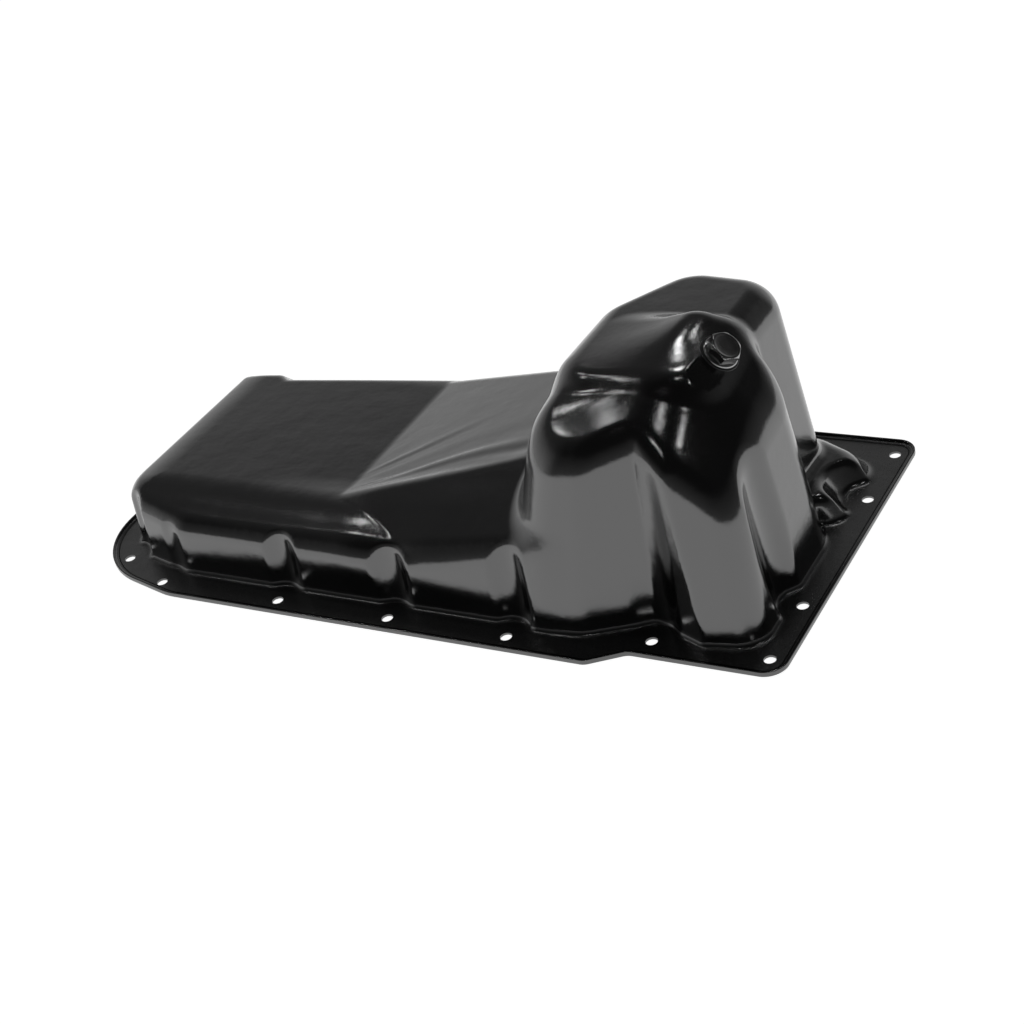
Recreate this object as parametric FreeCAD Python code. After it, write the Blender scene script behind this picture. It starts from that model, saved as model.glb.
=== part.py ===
import FreeCAD, Part
import math
import os

os.makedirs("parts", exist_ok=True)
V = FreeCAD.Vector
UP = V(0, 0, 1)

# The pan lies upside down on its gasket face, which is the plane z = 0.
# The shallow trough is at -X, the sump at +X, and Y is the width. Millimetres.
# A side of a form is (angle, reach, lean): the way its wall faces in plan, how far the
# wall's foot stands from the origin that way, and how much it moves in per unit of height.

# Sheet
sheet = 1.8
root_radius = 6.0
root_steps = 3

# Flange
half_length = 319.2
trough_rail = 166.6
sump_rail = 149.0
jog_start = 174.0
jog_end = 201.0
jog_radius = 12.0
taper_start = -214.0
taper_angle = 13.5
taper_radius = 60.0
left_corner_radius = 80.0
right_corner_radius = 17.0
lip_height = 4.6
lip_bend = 2.2

# Bolt holes and the round pockets in the walls that clear their heads
hole_diameter = 9.1
hole_depth = 12.0
pocket_radius = 21.0
end_pocket_radius = 14.0
pocket_height = 300.0
trough_bolts = [(-229.5, 152.0), (-110.4, 151.6), (-5.1, 151.6), (101.0, 151.0)]
corner_bolts = [(-282.2, 129.3)]
sump_bolts = [(212.2, 131.0), (304.0, 68.0)]
free_bolts = [(304.0, 130.6)]
left_bolts = [(-304.0, 50.0)]

# Trough
trough_top = 61.0
trough_wall = 135.0
trough_end = 296.5
trough_lean = 0.09
end_lean = 0.03
trough_shoulder = 28.0
trough_corner = 46.0
trough_hidden_end = 168.0
trough_hidden_corner = 40.0
back_facet_start = V(-280.0, 78.0, 54.5)
back_facet_turn = 8.0
back_facet_slope = 45.0

# Ramp
ramp_start = -72.0
ramp_half_width = 87.0
ramp_rise = 0.26
ramp_side_rise = 0.185
ramp_side_fall = 0.655
ramp_crease = 14.0
ramp_step = 0.4
ramp_hidden_end = 150.0
ramp_hidden_start = -132.0
ramp_hidden_corner = 30.0
ramp_raised = 130.0

# Sump, back block
roof_height = 174.0
block_right = 262.0
block_back = 116.0
block_left = -46.0
left_lean = 0.467
block_shoulder = 13.0
right_lean = 0.1
back_lean = 0.075
diagonal_angle = 147.2
diagonal_lean = 0.3
diagonal_edge = V(125.5, 41.0, roof_height)
block_hidden_front = -60.0
block_step = 0.4
block_corner = 30.0

# Sump, front hump
hump_front = 137.0
hump_right = 294.0
hump_back = 74.0
hump_left = -80.0
hump_left_lean = 0.27
hump_ridge = V(230.0, 0, 190.0)
hump_left_edge = V(125.0, 0, 165.0)
hump_shoulder = 24.0
hump_corner = 40.0
hump_bay_radius = 60.0
hump_back_corner = 26.0
hump_hidden_corner = 30.0
hump_turn = 9.6
hump_turn_start = 204.0
hump_front_lean = 0.16
hump_right_lean = 0.1
hump_back_lean = 0.25
hump_diagonal_angle = 59.3
hump_diagonal_reach = 166.0
hump_diagonal_lean = 0.09
hump_fall = 0.12
hump_left_rise = 0.29

# Blister beside the sump
blister_height = 22.0
blister_right = 293.0
blister_back = 126.0
blister_lean = 0.3
blister_shoulder = 10.0
blister_corner = 14.0
blister_hidden_left = 220.0
blister_hidden_front = 30.0
blister_hidden_corner = 26.0

# The slanted face in front of the drain
front_facet_start = V(237.0, -112.0, 139.0)
front_facet_fall = 0.81
front_facet_rise = 0.48

# Drain
plug_seat = V(240.5, -8.5, 170.5)
plug_axis = V(0.9, -0.12, 1).normalize()
shank_diameter = 18.0
shank_length = 15.0
shank_bevel = 1.5
shank_clearance = 0.08
gasket_clearance = 0.4
drain_bore = 19.6
nut_across = 30.0
nut_height = 9.0
gasket_diameter = 30.5
gasket_height = 2.4
gasket_bevel = 0.6
collar_diameter = 27.5
collar_height = 2.4
head_across = 22.0
head_height = 7.5
head_bevel = 0.6

# Room beyond every form, and how far walls are raised above a top before it is cut
FAR = 900.0
spare = 20.0


def corner_points(before, corner, after, radius):
    """The start, middle and end of the arc that rounds one corner of an outline."""
    back = (before - corner).normalize()
    on = (after - corner).normalize()
    half = back.getAngle(on) / 2
    inward = (back + on).normalize()
    reach = radius / math.tan(half)
    middle = corner + inward * (radius / math.sin(half) - radius)
    return corner + back * reach, middle, corner + on * reach


def rounded(corners, z):
    """A closed wire at height z through (x, y, radius) corners."""
    points = [V(x, y, z) for x, y, radius in corners]
    arcs = []
    for i, (x, y, radius) in enumerate(corners):
        after = points[(i + 1) % len(points)]
        arcs.append(corner_points(points[i - 1], points[i], after, radius))
    edges = []
    for i, (start, middle, end) in enumerate(arcs):
        edges.append(Part.Arc(start, middle, end).toShape())
        edges.append(Part.LineSegment(end, arcs[(i + 1) % len(arcs)][0]).toShape())
    return Part.Wire(edges)


def meet(one, two):
    """Where two plan lines (angle, distance from the origin) cross."""
    a, b = math.radians(one[0]), math.radians(two[0])
    turn = math.sin(b - a)
    x = (one[1] * math.sin(b) - two[1] * math.sin(a)) / turn
    y = (two[1] * math.cos(a) - one[1] * math.cos(b)) / turn
    return x, y


def section(sides, radii, z, inset):
    """The rounded outline of a form at height z, its walls moved in by the inset."""
    lines = [(angle, reach - lean * z - inset * math.hypot(1, lean)) for angle, reach, lean in sides]
    corners = []
    for i, radius in enumerate(radii):
        x, y = meet(lines[i - 1], lines[i])
        corners.append((x, y, radius - inset))
    return rounded(corners, z)


def walls(sides, radii, high, inset):
    """A leaning-walled block whose foot bends out into the flange.

    radii[i] rounds the corner between side i-1 and side i.
    """
    bend = root_radius + inset
    wires = []
    for step in range(root_steps + 1):
        turn = math.radians(90 * step / root_steps)
        z = sheet + root_radius - bend * math.cos(turn)
        wires.append(section(sides, radii, z, bend * math.sin(turn) - root_radius))
    wires.append(section(sides, radii, high, inset))
    return Part.makeLoft(wires, True, True)


def under(shape, point, normal, inset):
    """Cuts away what lies above the plane, moved in by the inset."""
    block = Part.makeBox(2 * FAR, 2 * FAR, FAR)
    corner = FreeCAD.Placement(V(-FAR, -FAR, 0), FreeCAD.Rotation())
    turned = FreeCAD.Placement(point - normal * inset, FreeCAD.Rotation(UP, normal))
    block.Placement = turned.multiply(corner)
    return shape.cut(block)


def on_plane(edge, point, normal):
    ends = [edge.valueAt(edge.FirstParameter), edge.valueAt(edge.LastParameter)]
    ends.append(edge.valueAt((edge.FirstParameter + edge.LastParameter) / 2))
    return all(abs((end - point).dot(normal)) < 0.01 for end in ends)


def rounded_top(shape, planes, radius, inset):
    """Rounds every edge that lies on one of the cutting planes."""
    chosen = []
    for edge in shape.Edges:
        if any(on_plane(edge, point - normal * inset, normal) for point, normal in planes):
            chosen.append(edge)
    return shape.makeFillet(radius - inset, chosen)


def plan_reach(angle, x, y):
    """How far from the origin the plan line through (x, y) lies, facing the angle."""
    turn = math.radians(angle)
    return x * math.cos(turn) + y * math.sin(turn)


def facing(slope_x, slope_y):
    """The upward normal of a plane that rises by the two slopes along X and Y."""
    return V(-slope_x, -slope_y, 1).normalize()


def block_top(sides, radii, planes, radius, height, inset):
    """A block cut under its planes and rounded along the edges that they make."""
    shape = walls(sides, radii, height, inset)
    for plane in planes:
        shape = under(shape, *plane, inset)
    return rounded_top(shape, planes, radius, inset)


def trough(inset):
    back_taper = 90 + taper_angle
    taper_reach = plan_reach(back_taper, taper_start, trough_wall)
    sides = [(0, trough_hidden_end, 0),
             (90, trough_wall, trough_lean),
             (back_taper, taper_reach, trough_lean),
             (180, trough_end, end_lean),
             (-back_taper, taper_reach, trough_lean),
             (-90, trough_wall, trough_lean)]
    radii = [trough_hidden_corner, trough_hidden_corner, taper_radius,
             trough_corner, trough_corner, taper_radius]
    top = (V(0, 0, trough_top), UP)
    turn, slope = math.radians(back_facet_turn), math.radians(back_facet_slope)
    level = V(-math.sin(turn), math.cos(turn), 0)
    back_facet = (back_facet_start, level * math.sin(slope) + UP * math.cos(slope))
    shape = block_top(sides, radii, [top], trough_shoulder, trough_top + spare, inset)
    return under(shape, *back_facet, inset)


def ramp(inset):
    """The rise from the trough's top to the sump, with a slanted facet along each side."""
    sides = [(0, ramp_hidden_end, 0),
             (90, trough_wall - ramp_step, trough_lean),
             (180, -ramp_hidden_start, 0),
             (-90, trough_wall - ramp_step, trough_lean)]
    start = V(ramp_start, 0, trough_top)
    edge = V(0, ramp_half_width, 0)
    top = (start, facing(ramp_rise, 0))
    back = (start + edge, facing(ramp_side_rise, -ramp_side_fall))
    front = (start - edge, facing(ramp_side_rise, ramp_side_fall))
    radii = [ramp_hidden_corner] * len(sides)
    return block_top(sides, radii, [top, back, front], ramp_crease, ramp_raised, inset)


def back_block(inset):
    diagonal_reach = plan_reach(diagonal_angle, diagonal_edge.x, diagonal_edge.y)
    diagonal_reach = diagonal_reach + diagonal_lean * diagonal_edge.z
    sides = [(0, block_right, right_lean),
             (90, block_back, back_lean),
             (diagonal_angle, diagonal_reach, diagonal_lean),
             (180, block_left, left_lean),
             (-90, -block_hidden_front, 0)]
    radii = [block_corner] * len(sides)
    top = (V(0, 0, roof_height), UP)
    shape = block_top(sides, radii, [top], block_shoulder, roof_height + spare, inset)
    return under(shape, plug_seat - plug_axis * block_step, plug_axis, inset)


def hump(inset):
    front_right = -90 + hump_turn
    turned_reach = plan_reach(front_right, hump_turn_start, -hump_front)
    sides = [(0, hump_right, hump_right_lean),
             (hump_diagonal_angle, hump_diagonal_reach, hump_diagonal_lean),
             (90, hump_back, hump_back_lean),
             (180, hump_left, hump_left_lean),
             (-90, hump_front, hump_front_lean),
             (front_right, turned_reach, hump_front_lean)]
    radii = [hump_corner, hump_corner, hump_back_corner,
             hump_hidden_corner, hump_corner, hump_bay_radius]
    top = (hump_ridge, facing(0, hump_fall))
    left = (hump_left_edge, facing(hump_left_rise, 0))
    shape = block_top(sides, radii, [top, left], hump_shoulder, hump_ridge.z + 2 * spare, inset)
    shape = under(shape, plug_seat, plug_axis, inset)
    return under(shape, front_facet_start, facing(-front_facet_fall, front_facet_rise), inset)


def blister(inset):
    sides = [(0, blister_right, blister_lean),
             (90, blister_back, blister_lean),
             (180, -blister_hidden_left, 0),
             (-90, -blister_hidden_front, 0)]
    radii = [blister_hidden_corner] + [blister_corner] * 3
    top = (V(0, 0, blister_height), UP)
    return block_top(sides, radii, [top], blister_shoulder, blister_height + spare, inset)


def pocket(x, y, radius, inset):
    """The round clearance over one bolt head, running out into the flange at its foot."""
    bend = root_radius + inset
    foot = V(radius - root_radius, 0, sheet - inset)
    turn = math.pi / 4
    middle = V(radius - root_radius + bend * math.sin(turn), 0,
               sheet + root_radius - bend * math.cos(turn))
    wall = V(radius + inset, 0, sheet + root_radius)
    top = V(radius + inset, 0, pocket_height)
    edges = [Part.LineSegment(V(0, 0, foot.z), foot).toShape(),
             Part.Arc(foot, middle, wall).toShape(),
             Part.LineSegment(wall, top).toShape(),
             Part.LineSegment(top, V(0, 0, pocket_height)).toShape(),
             Part.LineSegment(V(0, 0, pocket_height), V(0, 0, foot.z)).toShape()]
    shape = Part.Face(Part.Wire(edges)).revolve(V(0, 0, 0), UP, 360)
    shape.translate(V(x, y, 0))
    return shape


def mirrored(places):
    return [(x, side * y) for x, y in places for side in (-1, 1)]


def form(inset):
    """The drawn shape above the flange, as a solid; the inset gives its inner face."""
    shape = trough(inset)
    for block in (ramp(inset), back_block(inset), hump(inset), blister(inset)):
        shape = shape.fuse(block)
    for x, y in mirrored(trough_bolts + corner_bolts + sump_bolts):
        shape = shape.cut(pocket(x, y, pocket_radius, inset))
    for x, y in mirrored(left_bolts):
        shape = shape.cut(pocket(x, y, end_pocket_radius, inset))
    return shape


def flange_outline(inset):
    """The outline of the flange's edge, moved in by the inset."""
    end_y = trough_rail - (half_length + taper_start) * math.tan(math.radians(taper_angle))
    half = [(half_length, sump_rail, right_corner_radius),
            (jog_end, sump_rail, jog_radius),
            (jog_start, trough_rail, jog_radius),
            (taper_start, trough_rail, taper_radius),
            (-half_length, end_y, left_corner_radius)]
    other = [(x, -y, radius) for x, y, radius in reversed(half)]
    wire = rounded(half + other, 0)
    return wire if inset == 0 else wire.makeOffset2D(-inset)


def flange():
    """The flat gasket flange with its turned-up edge."""
    outer = Part.Face(flange_outline(0)).extrude(UP * lip_height)
    inner = Part.Face(flange_outline(sheet)).extrude(UP * lip_height)
    inner.translate(UP * sheet)
    plate = outer.cut(inner)
    foot = [edge for edge in plate.Edges if abs(edge.BoundBox.ZMax) < 0.01]
    plate = plate.makeFillet(lip_bend, foot)
    inside = [edge for edge in plate.Edges
              if abs(edge.BoundBox.ZMax - sheet) < 0.01 and abs(edge.BoundBox.ZMin - sheet) < 0.01]
    return plate.makeFillet(lip_bend - sheet, inside)


def along(shape, place, axis):
    """Turns a shape made along +Z to lie along the axis, with its base at the place."""
    shape = shape.copy()
    shape.Placement = FreeCAD.Placement(place, FreeCAD.Rotation(UP, axis))
    return shape


def hexagon(across, height, z):
    corner = across / math.sqrt(3)
    points = [V(corner * math.cos(math.radians(60 * i)), corner * math.sin(math.radians(60 * i)), z)
              for i in range(6)]
    return Part.Face(Part.makePolygon(points + points[:1])).extrude(UP * height)


def oil_pan():
    shape = flange().fuse(form(0)).cut(form(sheet))
    for x, y in mirrored(trough_bolts + corner_bolts + sump_bolts + free_bolts + left_bolts):
        shape = shape.cut(Part.makeCylinder(hole_diameter / 2, hole_depth, V(x, y, -hole_depth / 2)))
    drill = Part.makeCylinder(drain_bore / 2, 8 * sheet, V(0, 0, -4 * sheet))
    return shape.cut(along(drill, plug_seat, plug_axis))


def drain_nut():
    """The threaded nut welded behind the wall."""
    body = hexagon(nut_across, nut_height, -sheet - nut_height)
    bore_radius = shank_diameter / 2 + shank_clearance
    bore = Part.makeCylinder(bore_radius, 4 * nut_height, V(0, 0, -3 * nut_height))
    return along(body.cut(bore), plug_seat, plug_axis)


def drain_gasket():
    ring = Part.makeCylinder(gasket_diameter / 2, gasket_height)
    ring = ring.makeChamfer(gasket_bevel, [edge for edge in ring.Edges if edge.isClosed()])
    bore_radius = shank_diameter / 2 + gasket_clearance
    bore = Part.makeCylinder(bore_radius, 3 * gasket_height, V(0, 0, -gasket_height))
    return along(ring.cut(bore), plug_seat, plug_axis)


def drain_plug():
    """The plug: collar, hexagon head with its corners turned off, shank with a tapered end."""
    collar = Part.makeCylinder(collar_diameter / 2, collar_height, V(0, 0, gasket_height))
    head_base = gasket_height + collar_height
    turned = Part.makeCone(head_across / 2 + head_height, head_across / 2 - head_bevel,
                           head_height + head_bevel, V(0, 0, head_base))
    head = hexagon(head_across, head_height, head_base)
    head = head.common(turned)
    shank = Part.makeCylinder(shank_diameter / 2, shank_length, V(0, 0, gasket_height - shank_length))
    tip = [edge for edge in shank.Edges if edge.BoundBox.ZMax < 0]
    shank = shank.makeChamfer(shank_bevel, tip)
    return along(collar.multiFuse([head, shank]).removeSplitter(), plug_seat, plug_axis)


pieces = {
    "oil_pan": oil_pan(),
    "drain_nut": drain_nut(),
    "drain_gasket": drain_gasket(),
    "drain_plug": drain_plug(),
}
for name, shape in pieces.items():
    shape.exportStep("parts/" + name + ".step")
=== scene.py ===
import math

import bpy
import numpy as np
from mathutils import Matrix, Vector


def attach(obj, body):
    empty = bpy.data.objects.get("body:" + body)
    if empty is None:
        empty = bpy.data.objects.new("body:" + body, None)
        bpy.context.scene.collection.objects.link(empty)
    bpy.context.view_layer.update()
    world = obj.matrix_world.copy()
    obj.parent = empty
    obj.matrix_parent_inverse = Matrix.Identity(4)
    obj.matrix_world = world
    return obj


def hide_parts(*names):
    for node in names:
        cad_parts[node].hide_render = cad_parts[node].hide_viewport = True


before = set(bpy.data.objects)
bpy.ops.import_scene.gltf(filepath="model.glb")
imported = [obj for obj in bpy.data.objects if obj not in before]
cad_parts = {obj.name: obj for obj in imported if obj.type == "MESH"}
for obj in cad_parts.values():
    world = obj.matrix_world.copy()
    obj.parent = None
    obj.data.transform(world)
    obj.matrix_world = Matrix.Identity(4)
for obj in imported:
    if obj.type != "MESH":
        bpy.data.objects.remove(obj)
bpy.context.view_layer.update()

# Shapes are worked out in millimetres in the row frame and stored in metres.
MM = 0.001

# Sheet, the bend at the walls' foot, and how far above the flange's top the bend ends
SHEET = 1.8
ROOT = 4.5
LIFT = 0.02

# Flange: half length and widths, the taper at the trough's end, the jog before the sump
HALF_LENGTH, TROUGH_RAIL, SUMP_RAIL = 319.2, 166.6, 149.0
TAPER_START, TAPER_ANGLE, TAPER_RADIUS = -214.0, 13.5, 60.0
JOG_START, JOG_END, JOG_RADIUS = 174.0, 201.0, 12.0
LEFT_CORNER, RIGHT_CORNER = 80.0, 17.0

# Turned-up edge: where the flat ends, its height, bends, eased rim and lap over the flat
LIP_INSET, LIP_HEIGHT = 4.6, 4.6
OUTER_BEND, INNER_BEND = 1.3, 1.6
RIM_EASE, RIM_DROP = 0.4, 0.14
LIP_LAP = 0.8

# Bolt holes, and the pockets in the walls that clear the bolts' heads
HOLE_RADIUS = 4.55
TROUGH_BOLTS = [(-229.5, 152.0), (-110.4, 151.6), (-5.1, 151.6), (101.0, 151.0)]
CORNER_BOLTS = [(-282.2, 129.3)]
SUMP_BOLTS = [(212.2, 131.0)]
RIGHT_BOLT = (304.0, 68.0)
FREE_BOLTS = [(304.0, 130.6)]
LEFT_BOLTS = [(-304.0, 50.0)]
TROUGH_POCKET, SUMP_POCKET, LEFT_POCKET = 21.0, 20.0, 14.0
TROUGH_POCKET_LEAN, SUMP_POCKET_LEAN = 0.09, 0.045
POCKET_EDGE, SUMP_POCKET_EDGE = 5.0, 8.0

# Trough
TROUGH_TOP, TROUGH_WALL, TROUGH_LEAN = 61.0, 135.0, 0.09
TROUGH_END, END_LEAN, END_CORNER = 293.7, 0.02, 46.0
HIDDEN_END, HIDDEN_CORNER = 168.0, 40.0
TROUGH_SHOULDER, CHEEK_ROUND, CHEEK_OUT = 17.0, 100.0, 13.5
BEVEL_START, BEVEL_ROUND, BEVEL_TURN = (-280.0, 78.0, 54.5), 12.0, 8.0

# Ramp
RAMP_START, RAMP_FRONT, RAMP_BACK = -72.0, -87.0, 91.5
RAMP_ROUND, RAMP_CREASE = 16.0, 22.0

# Sump
BLOCK_RIGHT, BLOCK_BACK, BLOCK_LEFT, BLOCK_FRONT, BLOCK_TOP = 261.9, 116.0, -46.0, 60.0, 176.3
BLOCK_SLANT = 147.2
HUMP_SLANT, HUMP_REACH, HUMP_BACK = 59.3, 166.0, 74.0
BAY_FRONT, BAY_RIGHT, BAY_TURN = 138.0, 260.0, -62.0
LOBE_RIGHT, LOBE_TURN, LOBE_FRONT_TURN = 294.0, -111.0, -80.4
DRAIN_ROUND, BROW_ROUND = 30.0, 150.0
FORM_JOIN = 12.0

# Mound at the far right corner
MOUND_RIGHT, MOUND_BACK, MOUND_LEAN, MOUND_SHOULDER = 297.0, 129.0, 0.5, 16.0

# Drain: the seat's centre and the plug's axis
SEAT = Vector((240.5, -8.5, 170.5))
AXIS = Vector((0.9, -0.12, 1)).normalized()
CUT_RADIUS, CUT_DEPTH = 9.0, 12.0

# Plug head and thread, their heights along the axis from the seat
HEAD_BASE, HEAD_HEIGHT, HEAD_ACROSS = 4.8, 7.45, 22.0
THREAD_RADIUS, THREAD_DEPTH, THREAD_PITCH = 8.95, 0.92, 1.5
THREAD_LOW, THREAD_HIGH = -12.55, 2.5

# The box that the drawn form is meshed in
LOW, HIGH = (-312.0, -156.0, -2.5), (312.0, 156.0, 200.0)


# Fields: each form is a signed distance, negative inside, built from planes.

def wall(angle, reach, lean):
    """A leaning wall that faces the angle in plan, its foot at the reach."""
    turn = math.radians(angle)
    size = math.hypot(1, lean)
    return np.array([math.cos(turn), math.sin(turn), lean]) / size, reach / size


def plane(point, slope_x, slope_y):
    """The plane through the point that rises by the slopes along X and Y."""
    normal = np.array([-slope_x, -slope_y, 1.0])
    normal /= np.linalg.norm(normal)
    return normal, float(np.dot(normal, point))


def height_over(flat, x, y, z):
    """How far each place lies outside the flat face."""
    normal, reach = flat
    return normal[0] * x + normal[1] * y + normal[2] * z - reach


def above(height, x, y, z):
    """How far each place lies above a level plane."""
    return height_over(plane((0, 0, height), 0, 0), x, y, z)


def outer_round(a, b, facing, radius):
    """The solid inside both faces, their edge rounded; facing is the dot product of their normals."""
    a = a + radius
    b = b + radius
    edge = np.sqrt(np.maximum(a * a + b * b - 2 * facing * a * b, 0)) / math.sqrt(1 - facing * facing)
    return np.where((a > facing * b) & (b > facing * a), edge, np.maximum(a, b)) - radius


def inner_round(a, b, facing, radius):
    """The two solids joined, with the hollow between them rounded."""
    return -outer_round(-a, -b, facing, radius)


def prism(walls, radii, x, y, z):
    """The solid inside the walls; radii[i] rounds the corner between wall i-1 and wall i."""
    faces = [height_over(flat, x, y, z) for flat in walls]
    shape = None
    for i, radius in enumerate(radii):
        facing = float(np.dot(walls[i - 1][0], walls[i][0]))
        corner = outer_round(faces[i - 1], faces[i], facing, radius)
        shape = corner if shape is None else np.maximum(shape, corner)
    return shape


def plan_reach(angle, x, y):
    """The reach of a wall that faces the angle and stands on the point."""
    turn = math.radians(angle)
    return x * math.cos(turn) + y * math.sin(turn)


def ease(low, high, value):
    """0 below low, 1 above high, smooth between."""
    t = np.clip((value - low) / (high - low), 0, 1)
    return t * t * (3 - 2 * t)


def fall_off(centre_x, centre_y, x, y):
    """The drop of a face that bulges a little round the centre."""
    drop, spread = 5, 3200
    return drop - drop * np.exp(-((x - centre_x) ** 2 + (y - centre_y) ** 2) / spread)


def softened_flat(walls, x, y, z):
    """The trough's flat top, falling softly towards its sides and end."""
    flat = above(TROUGH_TOP, x, y, z)
    ends = [(normal, reach + CHEEK_OUT) for normal, reach in walls[2:5]]
    rim = prism([walls[1], *ends, walls[5]], [60, 50, 46, 46, 50], x, y, z)
    cheek = 0.397 * rim + 0.918 * flat + 11.9
    return outer_round(flat, cheek, 0.918, CHEEK_ROUND)


def ramp_top(x, y, z):
    """The ramp's rising face and the faces that fall from it to both sides."""
    rise = height_over(plane((RAMP_START, 0, TROUGH_TOP), 0.26, 0), x, y, z)
    back = height_over(plane((RAMP_START, RAMP_BACK, TROUGH_TOP), 0.165, -0.655), x, y, z)
    front = height_over(plane((RAMP_START, RAMP_FRONT, TROUGH_TOP), 0.185, 0.655), x, y, z)
    return np.maximum(outer_round(rise, back, 0.84, RAMP_ROUND), outer_round(rise, front, 0.84, RAMP_ROUND))


def far_bevel(x, y, z):
    """The slanted strip along the trough's far edge."""
    start_x, start_y, start_z = BEVEL_START
    turn = math.radians(BEVEL_TURN)
    out = (-math.sin(turn) * (x - start_x) + math.cos(turn) * (y - start_y)) * math.sqrt(0.5)
    strip = out + (z - start_z) * math.sqrt(0.5)
    return strip + ease(12, 50, z) * (5.8 * ease(-248, -232, x) - 2.2) - 9.5 * ease(-30, 60, x)


def shoulder_swell(x, y, z):
    """How far the trough's front shoulder bulges, most just before the ramp's side."""
    bulge = 1.2 * np.exp(-((x + 38) / 28) ** 2) + 3 * ease(-180, -38, x) - 3 * ease(0, 110, x)
    return bulge * ease(0, 45, z) * ease(60, 100, -y)


def trough_and_ramp(x, y, z):
    """The shallow trough and the ramp that rises from it to the sump."""
    taper = 90 + TAPER_ANGLE
    taper_reach = plan_reach(taper, TAPER_START, TROUGH_WALL)
    walls = [wall(0, HIDDEN_END, 0), wall(90, TROUGH_WALL, TROUGH_LEAN),
             wall(taper, taper_reach, TROUGH_LEAN), wall(180, TROUGH_END, END_LEAN),
             wall(-taper, taper_reach, TROUGH_LEAN), wall(-90, TROUGH_WALL, TROUGH_LEAN)]
    radii = [HIDDEN_CORNER, HIDDEN_CORNER, TAPER_RADIUS, END_CORNER, END_CORNER, TAPER_RADIUS]
    sides = prism(walls, radii, x, y, z)
    top = inner_round(softened_flat(walls, x, y, z), ramp_top(x, y, z), 0.967, RAMP_CREASE)
    top = outer_round(top, far_bevel(x, y, z), 0.7, BEVEL_ROUND)
    return outer_round(sides, top, 0.35, TROUGH_SHOULDER) - shoulder_swell(x, y, z)


def drain_face(x, y, z):
    """The flat face that the plug seats on."""
    return height_over(plane(tuple(SEAT), -0.9, 0.12), x, y, z)


def back_block(x, y, z):
    """The tall block behind the hump."""
    slant = wall(BLOCK_SLANT, plan_reach(BLOCK_SLANT, 125.5, 41) + 0.3 * 174 - 2, 0.3)
    walls = [wall(0, BLOCK_RIGHT, 0.08), wall(90, BLOCK_BACK, 0.075), slant,
             wall(180, BLOCK_LEFT, 0.467), wall(-90, BLOCK_FRONT, 0)]
    sides = prism(walls, [30, 32, 34, 30, 30], x, y, z)
    shape = outer_round(sides, z - BLOCK_TOP, 0.1, 13 + 13 * ease(150, 262, x))
    return np.maximum(shape, drain_face(x, y, z) + 0.5)


def drain_facet(x, y, z):
    """The slanted face round the drain, with the steeper one before it."""
    front = height_over(plane((237, -112, 138), -0.81, 0.48), x, y, z) + fall_off(252, -97, x, y)
    return outer_round(drain_face(x, y, z), front, 0.93, 60)


def hump_sides(x, y, z):
    """The hump's walls: a rounded bay on the left, joined to the lobe under the drain."""
    slant = wall(HUMP_SLANT, HUMP_REACH, 0.09)
    back = wall(90, HUMP_BACK, 0.25)
    bay = [wall(0, BAY_RIGHT, 0), slant, back, wall(180, -80, 0.27), wall(-90, BAY_FRONT, 0.16),
           wall(BAY_TURN, plan_reach(BAY_TURN, 205, -112.5), 0.08)]
    lobe = [wall(0, LOBE_RIGHT, 0.1), slant, back, wall(180, -170, 0),
            wall(LOBE_TURN, plan_reach(LOBE_TURN, 232, -120.3), 0.08),
            wall(LOBE_FRONT_TURN, plan_reach(LOBE_FRONT_TURN, 204, -137), 0.16)]
    bay = prism(bay, [14, 40, 26, 30, 42, 34], x, y, z)
    lobe = prism(lobe, [22, 40, 26, 30, 14, 13], x, y, z)
    return inner_round(bay, lobe, 0.6, 5)


def hump(x, y, z):
    """The hump in front of the block, with its ridge, brow and drain faces."""
    ridge = height_over(plane((230, 0, 190), 0, 0.12), x, y, z)
    left = height_over(plane((125, 0, 165), 0.29, 0), x, y, z)
    brow = height_over(plane((200, -42, 182.5), 0.03, 0.5), x, y, z) + fall_off(178, -82, x, y)
    top = outer_round(outer_round(ridge, left, 0.95, 60), brow, 0.9, BROW_ROUND)
    shape = outer_round(hump_sides(x, y, z), top, 0.4, 26 - 8 * ease(225, 250, x))
    return outer_round(shape, drain_facet(x, y, z), 0.6, DRAIN_ROUND)


def mound(x, y, z):
    """The low mound at the far right corner."""
    walls = [wall(0, MOUND_RIGHT, MOUND_LEAN), wall(66, 220, MOUND_LEAN), wall(90, MOUND_BACK, MOUND_LEAN),
             wall(180, -220, 0), wall(-90, -30, 0)]
    top = height_over(plane((270, 90, 22), -0.08, -0.05), x, y, z)
    return outer_round(prism(walls, [14, 30, 40, 14, 14], x, y, z), top, 0.5, MOUND_SHOULDER)


def wrinkles(x, y):
    """The folds that the drawing left along the ramp."""
    fan = np.degrees(np.arctan2(y + 96 - 2.5 * np.sin(x / 23), x + 120))
    folds = np.sin(fan / 1.7 + 0.8 * np.sin(x / 37)) + 0.3 * np.sin(fan / 0.8 + x / 19)
    folds = folds * (0.6 + 0.4 * np.sin(fan / 3.1 + 2 + x / 70))
    part = ease(-80, -50, x) * ease(-105, -80, -x) * ease(-84, -76, y) * ease(-25, 45, -y)
    return 0.0023 * (x + 130) * folds * part


def mirrored(places):
    return [(x, side * y) for x, y in places for side in (-1, 1)]


def clearance(bolt_x, bolt_y, radius, lean, x, y, z):
    """A round pocket about the bolt, leaning towards the pan's middle."""
    return radius - np.sqrt((x - bolt_x) ** 2 + (y - bolt_y + np.sign(bolt_y) * lean * z) ** 2)


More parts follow.
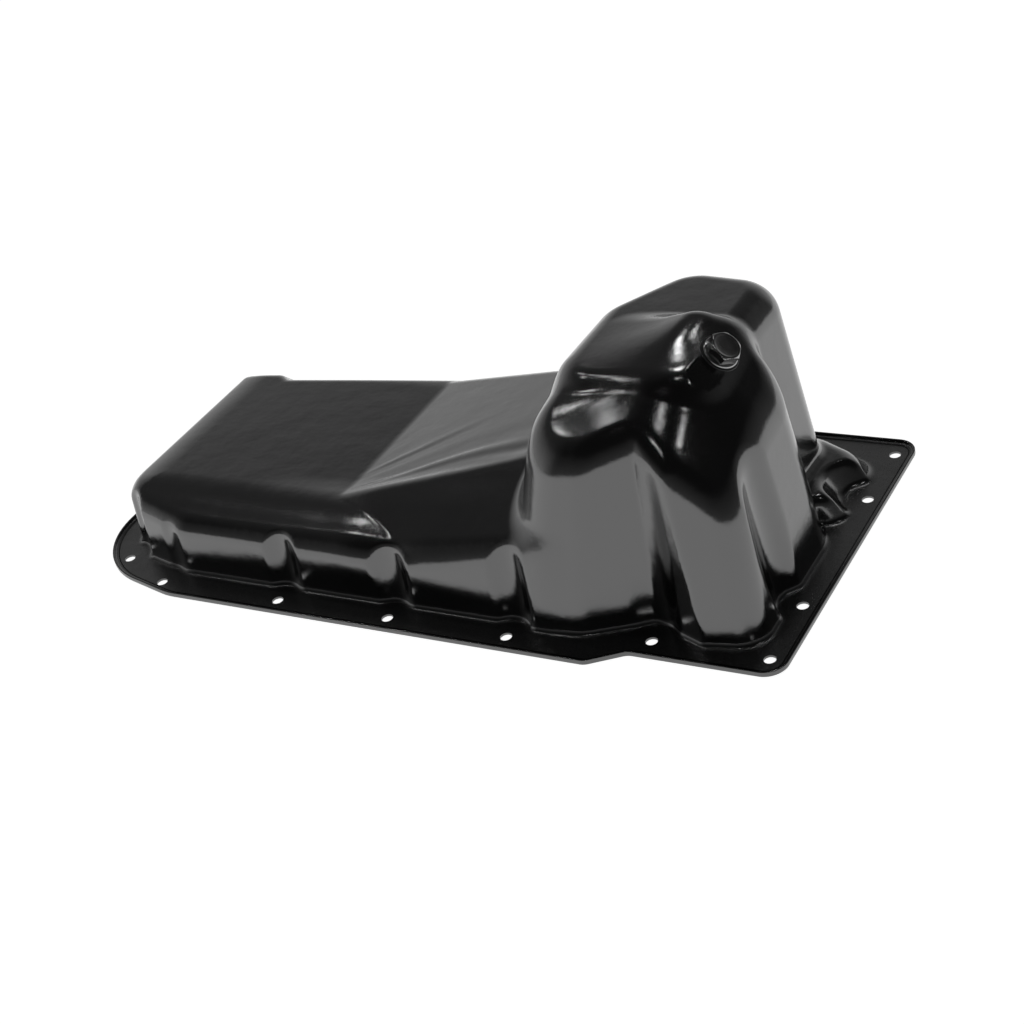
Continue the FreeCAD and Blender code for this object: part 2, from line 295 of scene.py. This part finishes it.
def near_right_clearance(x, y, z):
    """The pocket at the near right bolt, which widens upwards away from the pan."""
    bolt_x, bolt_y = RIGHT_BOLT
    wide = 12 * ease(5, 60, z)
    return SUMP_POCKET + wide - np.sqrt((x - bolt_x - wide + 0.065 * z) ** 2 + (y + bolt_y) ** 2)


def far_right_clearance(x, y, z):
    """The dent that the far right bolt leaves in the mound, opening upwards."""
    bolt_x, bolt_y = RIGHT_BOLT
    return SUMP_POCKET + 0.55 * np.minimum(z, 24) - np.sqrt((x - bolt_x) ** 2 + (y - bolt_y) ** 2)


def body(x, y, z):
    """The drawn form without the flange."""
    sump = inner_round(back_block(x, y, z), hump(x, y, z), 0.3, FORM_JOIN)
    shape = inner_round(trough_and_ramp(x, y, z), sump, 0.2, FORM_JOIN)
    shape = inner_round(shape, mound(x, y, z), 0.2, 8)
    shape = shape + wrinkles(x, y)
    for bolt in mirrored(TROUGH_BOLTS + CORNER_BOLTS):
        pocket = clearance(*bolt, TROUGH_POCKET, TROUGH_POCKET_LEAN, x, y, z)
        shape = outer_round(shape, pocket, 0.45, POCKET_EDGE)
    for bolt in mirrored(SUMP_BOLTS):
        pocket = clearance(*bolt, SUMP_POCKET, SUMP_POCKET_LEAN, x, y, z)
        shape = outer_round(shape, pocket, 0.45, SUMP_POCKET_EDGE)
    shape = outer_round(shape, near_right_clearance(x, y, z), 0.45, SUMP_POCKET_EDGE)
    shape = outer_round(shape, far_right_clearance(x, y, z), 0.45, SUMP_POCKET_EDGE)
    for bolt in mirrored(LEFT_BOLTS):
        pocket = clearance(*bolt, LEFT_POCKET, TROUGH_POCKET_LEAN, x, y, z)
        shape = outer_round(shape, pocket, 0.45, POCKET_EDGE)
    return shape


def drawn(x, y, z):
    """The form with its foot bent out into the flange."""
    return inner_round(body(x, y, z), above(SHEET + LIFT, x, y, z), 0.08, ROOT)


# Meshing of a field

def slope_of(field, points, step=0.25):
    """The field's slope along each axis."""
    parts = []
    for axis in range(3):
        move = np.zeros(3)
        move[axis] = step
        parts.append(field(*(points + move).T) - field(*(points - move).T))
    return np.stack(parts, 1) / (2 * step)


def settle(field, points, rounds):
    """Moves the points onto the surface where the field is zero."""
    for _ in range(rounds):
        slope = slope_of(field, points)
        size = np.maximum((slope * slope).sum(1), 0.05)
        points = points - slope * (field(*points.T) / size)[:, None]
    return points


def surface_net(field, low, high, cell):
    """Points and quads on the surface where the field is zero."""
    axes = [a + cell * np.arange(int(round((b - a) / cell)) + 1) for a, b in zip(low, high)]
    inside = field(*np.ix_(*axes)) < 0
    count = np.zeros([len(a) - 1 for a in axes], np.int8)
    for i in (0, 1):
        for j in (0, 1):
            for k in (0, 1):
                count += inside[i:len(axes[0]) - 1 + i, j:len(axes[1]) - 1 + j, k:len(axes[2]) - 1 + k]
    active = (count > 0) & (count < 8)
    number = np.full(active.shape, -1)
    number[active] = np.arange(active.sum())
    points = np.stack([axes[d][ix] + cell / 2 for d, ix in enumerate(np.nonzero(active))], 1)
    quads = []
    for axis in range(3):
        solid = np.moveaxis(inside, axis, 0)
        cells = np.moveaxis(number, axis, 0)
        i, j, k = np.nonzero(solid[:-1, 1:-1, 1:-1] != solid[1:, 1:-1, 1:-1])
        four = np.stack([cells[i, j, k], cells[i, j + 1, k], cells[i, j + 1, k + 1], cells[i, j, k + 1]], 1)
        back = solid[i, j + 1, k + 1] == (axis == 1)
        four[back] = four[back][:, ::-1]
        quads.append(four)
    quads = np.concatenate(quads)
    return points, quads


def relaxed(field, points, quads, rounds):
    """Evens out the points along the surface."""
    starts = np.concatenate([quads, np.roll(quads, 1, 1)]).ravel()
    ends = np.concatenate([np.roll(quads, 1, 1), quads]).ravel()
    count = len(points)
    degree = np.maximum(np.bincount(starts, minlength=count), 1)
    points = settle(field, points, 2)
    for _ in range(rounds):
        mean = np.stack([np.bincount(starts, points[ends, d], count) / degree for d in range(3)], 1)
        points = settle(field, points + 0.7 * (mean - points), 1)
    return settle(field, points, 2)


def trimmed(points, quads, keep):
    """The quads whose points are all kept, with those points alone."""
    quads = quads[keep[quads].all(1)]
    used = np.unique(quads)
    number = np.full(len(points), -1)
    number[used] = np.arange(len(used))
    return points[used], number[quads]


def mesh_object(name, points, faces, normals=None):
    """An object from points in millimetres."""
    mesh = bpy.data.meshes.new(name)
    mesh.from_pydata((np.asarray(points) * MM).tolist(), [], [list(map(int, f)) for f in faces])
    mesh.validate()
    mesh.polygons.foreach_set("use_smooth", [True] * len(mesh.polygons))
    if normals is not None:
        mesh.normals_split_custom_set_from_vertices(normals.tolist())
    mesh.update()
    obj = bpy.data.objects.new(name, mesh)
    bpy.context.scene.collection.objects.link(obj)
    return obj


def unit(vectors):
    return vectors / np.maximum(np.linalg.norm(vectors, axis=1), 1e-9)[:, None]


def in_drain_hole(points):
    """Which points lie where the drain hole is cut."""
    away = points - np.array(SEAT)
    along = away @ np.array(AXIS)
    off = np.linalg.norm(away - np.outer(along, AXIS), axis=1)
    return (off < CUT_RADIUS) & (np.abs(along) < CUT_DEPTH)


def pan_skin(name, cell, depth, margin):
    """One face of the drawn sheet, the given depth below its outer face."""
    points, quads = surface_net(drawn, LOW, HIGH, cell)
    points = relaxed(drawn, points, quads, 4)
    foot = body(points[:, 0], points[:, 1], np.full(len(points), SHEET + ROOT))
    points, quads = trimmed(points, quads, foot < ROOT + margin)
    normals = unit(slope_of(drawn, points, 0.4))
    if depth:
        points = points - normals * depth
        quads = quads[:, ::-1]
    points, quads = trimmed(points, quads, ~in_drain_hole(points))
    normals = unit(slope_of(drawn, points, 0.4)) * (-1 if depth else 1)
    return mesh_object(name, points, quads, normals)


# Outlines in plan

def outline(corners, step=4.0):
    """Points and inward normals along a closed outline of (x, y, radius) corners, anticlockwise."""
    points, normals = [], []
    count = len(corners)
    for i, (x, y, radius) in enumerate(corners):
        here = Vector((x, y))
        back = (Vector(corners[i - 1][:2]) - here).normalized()
        on = (Vector(corners[(i + 1) % count][:2]) - here).normalized()
        half = back.angle(on) / 2
        inward = (back + on).normalized()
        centre = here + inward * (radius / math.sin(half))
        start = here + back * (radius / math.tan(half))
        convex = back.x * on.y - back.y * on.x < 0
        first = math.atan2(*(start - centre).yx)
        sweep = (math.pi - 2 * half) * (1 if convex else -1)
        steps = max(3, int(math.degrees(abs(sweep)) / step))
        for s in range(steps + 1):
            turn = first + sweep * s / steps
            ray = Vector((math.cos(turn), math.sin(turn)))
            points.append(centre + ray * radius)
            normals.append(-ray if convex else ray)
    return np.array(points), np.array(normals)


def flange_corners():
    """The flange's corners with their radii, anticlockwise from the near left."""
    end_y = TROUGH_RAIL - (HALF_LENGTH + TAPER_START) * math.tan(math.radians(TAPER_ANGLE))
    near = [(-HALF_LENGTH, -end_y, LEFT_CORNER), (TAPER_START, -TROUGH_RAIL, TAPER_RADIUS),
            (JOG_START, -TROUGH_RAIL, JOG_RADIUS), (JOG_END, -SUMP_RAIL, JOG_RADIUS),
            (HALF_LENGTH, -SUMP_RAIL, RIGHT_CORNER)]
    return near + [(x, -y, radius) for x, y, radius in reversed(near)]


def lip_profile():
    """(inset, height) points round the section of the turned-up edge."""
    top = LIP_HEIGHT
    points = [(LIP_INSET, 0.0)]
    for s in range(6):
        turn = math.pi / 2 * s / 5
        points.append((OUTER_BEND - OUTER_BEND * math.sin(turn), OUTER_BEND - OUTER_BEND * math.cos(turn)))
    points += [(0.0, top - RIM_EASE), (0.12, top - RIM_DROP), (RIM_EASE, top)]
    points += [(SHEET - RIM_EASE, top), (SHEET - 0.12, top - RIM_DROP), (SHEET, top - RIM_EASE)]
    centre = SHEET + INNER_BEND
    for s in range(5):
        turn = math.pi / 2 * s / 4
        points.append((centre - INNER_BEND * math.cos(turn), centre - INNER_BEND * math.sin(turn)))
    points += [(LIP_INSET + LIP_LAP, SHEET), (LIP_INSET + LIP_LAP, SHEET / 2), (LIP_INSET, SHEET / 2)]
    return points


def swept_lip(name):
    """The turned-up edge, swept round the flange."""
    places, inward = outline(flange_corners())
    profile = lip_profile()
    points, faces = [], []
    rows, columns = len(places), len(profile)
    for place, normal in zip(places, inward):
        for inset, height in profile:
            points.append((*(place + normal * inset), height))
    for i in range(rows):
        for j in range(columns):
            a, b = i * columns, (i + 1) % rows * columns
            k = (j + 1) % columns
            faces.append((a + j, a + k, b + k, b + j))
    obj = mesh_object(name, points, faces)
    mark_sharp(obj, 50)
    return obj


def mark_sharp(obj, angle):
    """Edges sharper than the angle, in degrees, stay sharp in the shading."""
    mesh = obj.data
    normals = np.array([p.normal[:] for p in mesh.polygons])
    edges = {}
    for polygon in mesh.polygons:
        for key in polygon.edge_keys:
            edges.setdefault(key, []).append(polygon.index)
    limit = math.cos(math.radians(angle))
    for edge in mesh.edges:
        pair = edges.get(tuple(sorted(edge.vertices)), [])
        if len(pair) == 2:
            edge.use_edge_sharp = bool(np.dot(normals[pair[0]], normals[pair[1]]) < limit)
        else:
            edge.use_edge_sharp = True


def linked_cuts(level):
    """Where the zero line cuts the grid's edges, each cut linked to the next across a cell."""
    links = {}
    for i in range(level.shape[0] - 1):
        row = level[i:i + 2]
        if row.min() > 0 or row.max() < 0:
            continue
        for j in range(level.shape[1] - 1):
            corners = [(i, j), (i + 1, j), (i + 1, j + 1), (i, j + 1)]
            signs = [level[c] < 0 for c in corners]
            if all(signs) or not any(signs):
                continue
            cuts = [(corners[k], corners[(k + 1) % 4]) for k in range(4) if signs[k] != signs[(k + 1) % 4]]
            ends = [tuple(sorted(cut)) for cut in cuts]
            for a, b in zip(ends[::2], ends[1::2]):
                links.setdefault(a, []).append(b)
                links.setdefault(b, []).append(a)
    return links


def longest_loop(links):
    """The longest run of linked cuts."""
    best = []
    unused = set(links)
    while unused:
        here = min(unused)
        loop = []
        while here in unused:
            unused.discard(here)
            loop.append(here)
            onward = [n for n in links[here] if n in unused]
            if onward:
                here = onward[0]
        if len(loop) > len(best):
            best = loop
    return best


def foot_line():
    """The closed line where the bend meets the flange."""
    step = 1.5
    xs = np.arange(LOW[0], HIGH[0] + 0.1, step)
    ys = np.arange(LOW[1], HIGH[1] + 0.1, step)
    level = body(*np.ix_(xs, ys, [SHEET + ROOT]))[:, :, 0] - ROOT
    points = []
    for a, b in longest_loop(linked_cuts(level)):
        share = level[a] / (level[a] - level[b])
        points.append((xs[a[0]] + share * (xs[b[0]] - xs[a[0]]), ys[a[1]] + share * (ys[b[1]] - ys[a[1]])))
    return points


def flange_plate(name):
    """The flat of the flange, with its holes, between the foot of the bend and the lip."""
    curve = bpy.data.curves.new(name, "CURVE")
    curve.dimensions = "2D"
    curve.fill_mode = "BOTH"
    curve.extrude = SHEET / 2 * MM
    places, inward = outline(flange_corners())
    loops = [[tuple(p) for p in places + inward * LIP_INSET], foot_line()]
    for x, y in mirrored(TROUGH_BOLTS + CORNER_BOLTS + SUMP_BOLTS + [RIGHT_BOLT] + FREE_BOLTS + LEFT_BOLTS):
        loops.append([(x + HOLE_RADIUS * math.cos(t), y + HOLE_RADIUS * math.sin(t))
                      for t in np.linspace(0, 2 * math.pi, 40, endpoint=False)])
    for loop in loops:
        spline = curve.splines.new("POLY")
        spline.points.add(len(loop) - 1)
        spline.points.foreach_set("co", [v for x, y in loop for v in (x * MM, y * MM, 0, 1)])
        spline.use_cyclic_u = True
    holder = bpy.data.objects.new(name + "_curve", curve)
    bpy.context.scene.collection.objects.link(holder)
    mesh = bpy.data.meshes.new_from_object(holder)
    bpy.data.objects.remove(holder)
    mesh.transform(Matrix.Translation((0, 0, SHEET / 2 * MM)))
    obj = bpy.data.objects.new(name, mesh)
    bpy.context.scene.collection.objects.link(obj)
    mesh.polygons.foreach_set("use_smooth", [True] * len(mesh.polygons))
    mark_sharp(obj, 30)
    return obj


# The drain plug

def along_axis(obj):
    """Stands an object made along +Z on the drain's seat."""
    turn = AXIS.to_track_quat("Z", "Y").to_matrix().to_4x4()
    obj.data.transform(Matrix.Translation(SEAT * MM) @ turn)
    return obj


def turned(name, profile, count=72):
    """A surface turned about +Z from a closed list of (radius, height) points."""
    points, faces = [], []
    for s in range(count):
        a = 2 * math.pi * s / count
        points += [(r * math.cos(a), r * math.sin(a), z) for r, z in profile]
    size = len(profile)
    for s in range(count):
        a, b = s * size, (s + 1) % count * size
        for j in range(size):
            k = (j + 1) % size
            faces.append((a + j, b + j, b + k, a + k))
    return mesh_object(name, points, faces)


def ring(radii, z):
    """Points round +Z at one height, one for each radius."""
    turns = [2 * math.pi * s / len(radii) for s in range(len(radii))]
    return [(r * math.cos(a), r * math.sin(a), z) for r, a in zip(radii, turns)]


def faces_between(rows, count):
    """Faces between rows of points, each row a closed ring."""
    faces = []
    for i in range(rows - 1):
        for s in range(count):
            a, b = i * count + s, i * count + (s + 1) % count
            faces.append((a, b, b + count, a + count))
    return faces


def hexagon_head(name, base, height, across, count=120):
    """A hexagon head whose corners are turned off above and below, with a shallow dished top."""
    flat = across / 2
    full = 7.5
    rings = []
    for level in (0.0, 0.35, 0.9, 1.6, 3.0, 4.6, 5.6, 6.3, 6.8, 7.15, 7.35, 7.45):
        low = flat + 1.1 + 2.2 * level
        top = flat - 0.2 + 1.7 * (full - level)
        radii = []
        for s in range(count):
            part = (2 * math.pi * s / count + math.pi / 6) % (math.pi / 3) - math.pi / 6
            radii.append(min(flat + (flat / math.cos(part) - flat) * 0.94, low, top))
        rings.append(ring(radii, base + height * level / full))
    crown = [(flat - 0.5, 7.5), (flat - 1.6, 7.48), (flat - 2.1, 7.3), (flat - 2.6, 7.2),
             (4.0, 7.15), (0.8, 7.15)]
    for radius, level in crown:
        rings.append(ring([radius] * count, base + height * level / full))
    points = [point for row in rings for point in row]
    faces = faces_between(len(rings), count)
    faces.append(tuple((len(rings) - 1) * count + s for s in range(count)))
    return mesh_object(name, points, faces)


def thread(name, radius, depth, pitch, low, high, count=48):
    """A screw thread about +Z, with a tapered end at the bottom."""
    rows = int((high - low) / pitch * 10)
    points = []
    for i in range(rows + 1):
        z = low + (high - low) * i / rows
        taper = max(0.0, 1.2 - (z - low))
        radii = []
        for s in range(count):
            phase = (z / pitch - s / count) % 1
            cut = depth * np.clip(1.4 - abs(phase - 0.5) * 4, 0, 1)
            radii.append(radius - max(cut, taper + 0.25 * cut))
        points += ring(radii, z)
    faces = faces_between(rows + 1, count)
    faces.append(tuple(reversed(range(count))))
    return mesh_object(name, points, faces)


# Materials

class Nodes:
    """A material's nodes, added from left to right."""

    def __init__(self, name):
        self.material = bpy.data.materials.new(name)
        self.material.use_nodes = True
        self.tree = self.material.node_tree
        self.tree.nodes.clear()
        self.out = self.add("ShaderNodeOutputMaterial")

    def add(self, kind, **settings):
        node = self.tree.nodes.new(kind)
        for key, value in settings.items():
            setattr(node, key, value)
        return node

    def link(self, source, output, target, slot):
        self.tree.links.new(source.outputs[output], target.inputs[slot])

    def noise(self, where, scale, detail=2.0, rough=0.5):
        """Noise fixed to the object, its scale per metre."""
        node = self.add("ShaderNodeTexNoise")
        node.inputs["Scale"].default_value = scale
        node.inputs["Detail"].default_value = detail
        node.inputs["Roughness"].default_value = rough
        self.link(where, "Object", node, "Vector")
        return node

    def spread(self, source, output, low, high, to_low, to_high):
        """A value mapped from one range to another."""
        node = self.add("ShaderNodeMapRange")
        for slot, value in (("From Min", low), ("From Max", high), ("To Min", to_low), ("To Max", to_high)):
            node.inputs[slot].default_value = value
        self.link(source, output, node, "Value")
        return node

    def bump(self, source, output, distance, strength, before=None):
        """Relief of the given height in metres, over what an earlier bump gives."""
        node = self.add("ShaderNodeBump")
        node.inputs["Distance"].default_value = distance
        node.inputs["Strength"].default_value = strength
        self.link(source, output, node, "Height")
        if before is not None:
            self.link(before, "Normal", node, "Normal")
        return node


def mix_colours(nodes, factor, output, one, two):
    """Colour one where the factor is 0, colour two where it is 1."""
    node = nodes.add("ShaderNodeMix", data_type="RGBA")
    node.inputs[6].default_value = (*one, 1)
    node.inputs[7].default_value = (*two, 1)
    nodes.tree.links.new(factor.outputs[output], node.inputs[0])
    return node


# Paint: the flange's lighter grey, which is painted light on the same paint as the rest of the pan, how much
# duller it is, and the heights in metres it fades between
FLANGE_PAINTED_LIGHT_GREY = (0.016, 0.016, 0.0165)
FLANGE_DULL = 0.16
FLANGE_FADE = (0.0021, 0.0034)


def black_paint(name, base, light, rough, peel, ior):
    """Black gloss paint with faint blotches, soft waves and a fine orange peel; duller on the flange, where
    a lighter grey is painted light.
    """
    nodes = Nodes(name)
    where = nodes.add("ShaderNodeTexCoord")
    shader = nodes.add("ShaderNodeBsdfPrincipled")
    shader.inputs["IOR"].default_value = ior
    shader.inputs["Specular IOR Level"].default_value = 0.9

    blotch = nodes.noise(where, 14, 4, 0.6)
    colour = mix_colours(nodes, nodes.spread(blotch, "Fac", 0.35, 0.7, 0, 1), "Result", base, light)
    parts = nodes.add("ShaderNodeSeparateXYZ")
    nodes.link(where, "Object", parts, 0)
    # low is 1 on the flange and 0 above it: it lifts the base colour to a lighter grey there as painted
    # light, and makes the flange duller
    low = nodes.spread(parts, "Z", *FLANGE_FADE, 1, 0)
    # both: the blotched colour, with painted light as a lighter grey on the flange
    both = mix_colours(nodes, low, "Result", base, FLANGE_PAINTED_LIGHT_GREY)
    nodes.link(colour, 2, both, 6)
    nodes.link(both, 2, shader, "Base Color")

    grain = nodes.noise(where, 1500, 2, 0.6)
    duller = nodes.add("ShaderNodeMath", operation="MULTIPLY_ADD")
    nodes.link(low, "Result", duller, 0)
    duller.inputs[1].default_value = FLANGE_DULL
    nodes.link(nodes.spread(grain, "Fac", 0.3, 0.7, *rough), "Result", duller, 2)
    nodes.link(duller, "Value", shader, "Roughness")

    waves = nodes.bump(nodes.noise(where, 26, 3, 0.55), "Fac", 0.0012, 0.35)
    fine = nodes.bump(nodes.noise(where, 420, 3, 0.6), "Fac", 0.0004, peel, waves)
    speck = nodes.bump(nodes.noise(where, 2600, 2, 0.7), "Fac", 0.0002, peel, fine)
    nodes.link(speck, "Normal", shader, "Normal")
    nodes.link(shader, "BSDF", nodes.out, "Surface")
    return nodes.material


def rubber(name):
    """Matt black rubber with a fine grain."""
    nodes = Nodes(name)
    where = nodes.add("ShaderNodeTexCoord")
    shader = nodes.add("ShaderNodeBsdfPrincipled")
    grain = nodes.noise(where, 900, 3, 0.6)
    colour = mix_colours(nodes, grain, "Fac", (0.012, 0.012, 0.012), (0.03, 0.03, 0.032))
    nodes.link(colour, 2, shader, "Base Color")
    nodes.link(nodes.spread(grain, "Fac", 0.3, 0.7, 0.4, 0.6), "Result", shader, "Roughness")
    nodes.link(nodes.bump(grain, "Fac", 0.0003, 0.3), "Normal", shader, "Normal")
    nodes.link(shader, "BSDF", nodes.out, "Surface")
    return nodes.material


def dress(obj, material):
    obj.data.materials.clear()
    obj.data.materials.append(material)


PAN_BASE, PAN_LIGHT = (0.004, 0.004, 0.0045), (0.009, 0.009, 0.0095)
HARDWARE_BASE, HARDWARE_LIGHT = (0.006, 0.006, 0.006), (0.014, 0.014, 0.014)
pan_paint = black_paint("pan_black_paint", PAN_BASE, PAN_LIGHT, (0.1, 0.16), 0.1, 1.7)
plug_paint = black_paint("plug_black_finish", HARDWARE_BASE, HARDWARE_LIGHT, (0.1, 0.2), 0.16, 2.6)
nut_paint = black_paint("nut_black_paint", HARDWARE_BASE, HARDWARE_LIGHT, (0.28, 0.42), 0.2, 1.7)
gasket_rubber = rubber("gasket_black_rubber")

# The pan

outer = pan_skin("pan_outer_skin", 2.5, 0, 4.0)
inner = pan_skin("pan_inner_skin", 4.0, SHEET, 3.0)
plate = flange_plate("flange_plate")
lip = swept_lip("flange_lip")
for piece in (outer, inner, plate, lip):
    dress(piece, pan_paint)
    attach(piece, "pan")
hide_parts("oil_pan")

# The drain plug

COLLAR = [(8.6, 2.42), (13.2, 2.42), (13.6, 2.6), (13.75, 2.9), (13.75, 3.5), (13.5, 3.95),
          (12.9, 4.35), (12.0, 4.6), (11.0, 4.75), (8.6, 4.78)]
collar = along_axis(turned("plug_collar", COLLAR))
head = along_axis(hexagon_head("plug_head", HEAD_BASE, HEAD_HEIGHT, HEAD_ACROSS))
shank = along_axis(thread("plug_thread", THREAD_RADIUS, THREAD_DEPTH, THREAD_PITCH, THREAD_LOW, THREAD_HIGH))
for piece in (collar, head, shank):
    dress(piece, plug_paint)
    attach(piece, "plug")
mark_sharp(head, 32)
mark_sharp(collar, 40)
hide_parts("drain_plug")
dress(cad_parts["drain_nut"], nut_paint)
dress(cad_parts["drain_gasket"], gasket_rubber)

# Floor, light and camera

FLOOR_HALF, FLOOR_LEVEL, FLOOR_GLOW = 9000, -0.3, 0.965


def floor_material():
    """White floor that shows its own shadows; it looks white to the camera and in reflections."""
    nodes = Nodes("floor_white")
    path = nodes.add("ShaderNodeLightPath")
    first = nodes.add("ShaderNodeMath", operation="ADD")
    second = nodes.add("ShaderNodeMath", operation="ADD")
    strength = nodes.add("ShaderNodeMath", operation="MULTIPLY")
    glow = nodes.add("ShaderNodeEmission")
    matt = nodes.add("ShaderNodeBsdfDiffuse")
    both = nodes.add("ShaderNodeAddShader")
    nodes.link(path, "Is Camera Ray", first, 0)
    nodes.link(path, "Is Glossy Ray", first, 1)
    nodes.link(first, 0, second, 0)
    nodes.link(path, "Is Transmission Ray", second, 1)
    nodes.link(second, 0, strength, 0)
    strength.inputs[1].default_value = FLOOR_GLOW
    nodes.link(strength, 0, glow, "Strength")
    matt.inputs["Color"].default_value = (0.5, 0.5, 0.5, 1)
    nodes.link(glow, 0, both, 0)
    nodes.link(matt, 0, both, 1)
    nodes.link(both, 0, nodes.out, "Surface")
    return nodes.material


floor = mesh_object("floor", [(x * FLOOR_HALF, y * FLOOR_HALF, FLOOR_LEVEL)
                              for x, y in ((-1, -1), (1, -1), (1, 1), (-1, 1))], [(0, 1, 2, 3)])
dress(floor, floor_material())

# The sky's level by the height of the direction, and its strength before and behind the pan
SKY_LEVELS = [(0.0, 1.0), (0.18, 0.78), (0.35, 0.52), (0.46, 0.36), (0.53, 0.18), (0.6, 0.12), (1.0, 0.08)]
BEHIND = (-0.766, 0.643, 0)
SKY_FADE = (("From Min", 0.0), ("From Max", 0.5), ("To Min", 0.17), ("To Max", 0.75))


def sky():
    """A dim studio above the horizon, brighter behind the pan."""
    world = bpy.data.worlds.new("studio")
    world.use_nodes = True
    tree = world.node_tree
    tree.nodes.clear()
    out = tree.nodes.new("ShaderNodeOutputWorld")
    shade = tree.nodes.new("ShaderNodeBackground")
    where = tree.nodes.new("ShaderNodeTexCoord")
    parts = tree.nodes.new("ShaderNodeSeparateXYZ")
    ramp = tree.nodes.new("ShaderNodeValToRGB")
    ramp.color_ramp.elements[0].color = (SKY_LEVELS[0][1],) * 3 + (1,)
    ramp.color_ramp.elements[1].color = (SKY_LEVELS[-1][1],) * 3 + (1,)
    for position, level in SKY_LEVELS[1:-1]:
        ramp.color_ramp.elements.new(position).color = (level,) * 3 + (1,)
    tree.links.new(where.outputs["Generated"], parts.inputs[0])
    tree.links.new(parts.outputs["Z"], ramp.inputs[0])
    tree.links.new(ramp.outputs[0], shade.inputs["Color"])
    behind = tree.nodes.new("ShaderNodeVectorMath")
    behind.operation = "DOT_PRODUCT"
    behind.inputs[1].default_value = BEHIND
    tree.links.new(where.outputs["Generated"], behind.inputs[0])
    fade = tree.nodes.new("ShaderNodeMapRange")
    fade.interpolation_type = "SMOOTHSTEP"
    for slot, value in SKY_FADE:
        fade.inputs[slot].default_value = value
    tree.links.new(behind.outputs["Value"], fade.inputs["Value"])
    tree.links.new(fade.outputs["Result"], shade.inputs["Strength"])
    tree.links.new(shade.outputs[0], out.inputs["Surface"])
    bpy.context.scene.world = world


# Lamps: place in metres, size in metres, watts; all are aimed at one point beside the hump
AIM = Vector((0.1, 0, 0.1))
LAMPS = [
    ((-1.27, 0.36, 1.80), 0.07, 0.5),
    ((-0.96, 0.17, 2.03), 0.08, 0.3),
    ((-1.25, -0.14, 1.85), 0.08, 0.6),
    ((-0.82, -0.07, 2.11), 0.07, 0.4),
    ((-0.07, 0.97, 2.12), 0.20, 2.2),
    ((0.48, 1.13, 2.03), 0.12, 0.9),
    ((1.31, 0.20, 2.05), 0.09, 0.7),
    ((0.10, -0.93, 2.18), 0.08, 0.5),
    ((0.46, 0.05, 2.34), 0.08, 0.5),
]


def softbox(name, place, size, power):
    """A small square lamp aimed at the pan."""
    lamp = bpy.data.lights.new(name, "AREA")
    lamp.shape = "SQUARE"
    lamp.size = size
    lamp.energy = power
    obj = bpy.data.objects.new(name, lamp)
    obj.location = place
    obj.rotation_euler = (AIM - Vector(place)).to_track_quat("-Z", "Y").to_euler()
    bpy.context.scene.collection.objects.link(obj)


sky()
for number, (place, size, power) in enumerate(LAMPS):
    softbox(f"lamp_{number}", place, size, power)

# Camera: focal length, picture width and shift in pixels; place in metres and its right and up
FOCAL_PIXELS, PICTURE_PIXELS, FILM_WIDTH = 1944.6, 1024, 36
SHIFT_PIXELS = (-0.8, 1.2)
EYE = (0.81675, -1.07634, 0.84720)
RIGHT = Vector((0.8589, 0.4669, -0.2102))
UP = Vector((-0.1072, 0.5654, 0.8178))

camera = bpy.data.cameras.new("camera")
camera.sensor_width = FILM_WIDTH
camera.lens = FOCAL_PIXELS / PICTURE_PIXELS * FILM_WIDTH
camera.clip_start, camera.clip_end = 0.05, 60
camera.shift_x, camera.shift_y = (pixels / PICTURE_PIXELS for pixels in SHIFT_PIXELS)
back = RIGHT.cross(UP).normalized()
turn = Matrix((RIGHT.normalized(), back.cross(RIGHT).normalized(), back)).transposed()
eye = bpy.data.objects.new("camera", camera)
eye.matrix_world = Matrix.Translation(EYE) @ turn.to_4x4()
bpy.context.scene.collection.objects.link(eye)
bpy.context.scene.camera = eye
bpy.context.scene.view_settings.view_transform = "Standard"
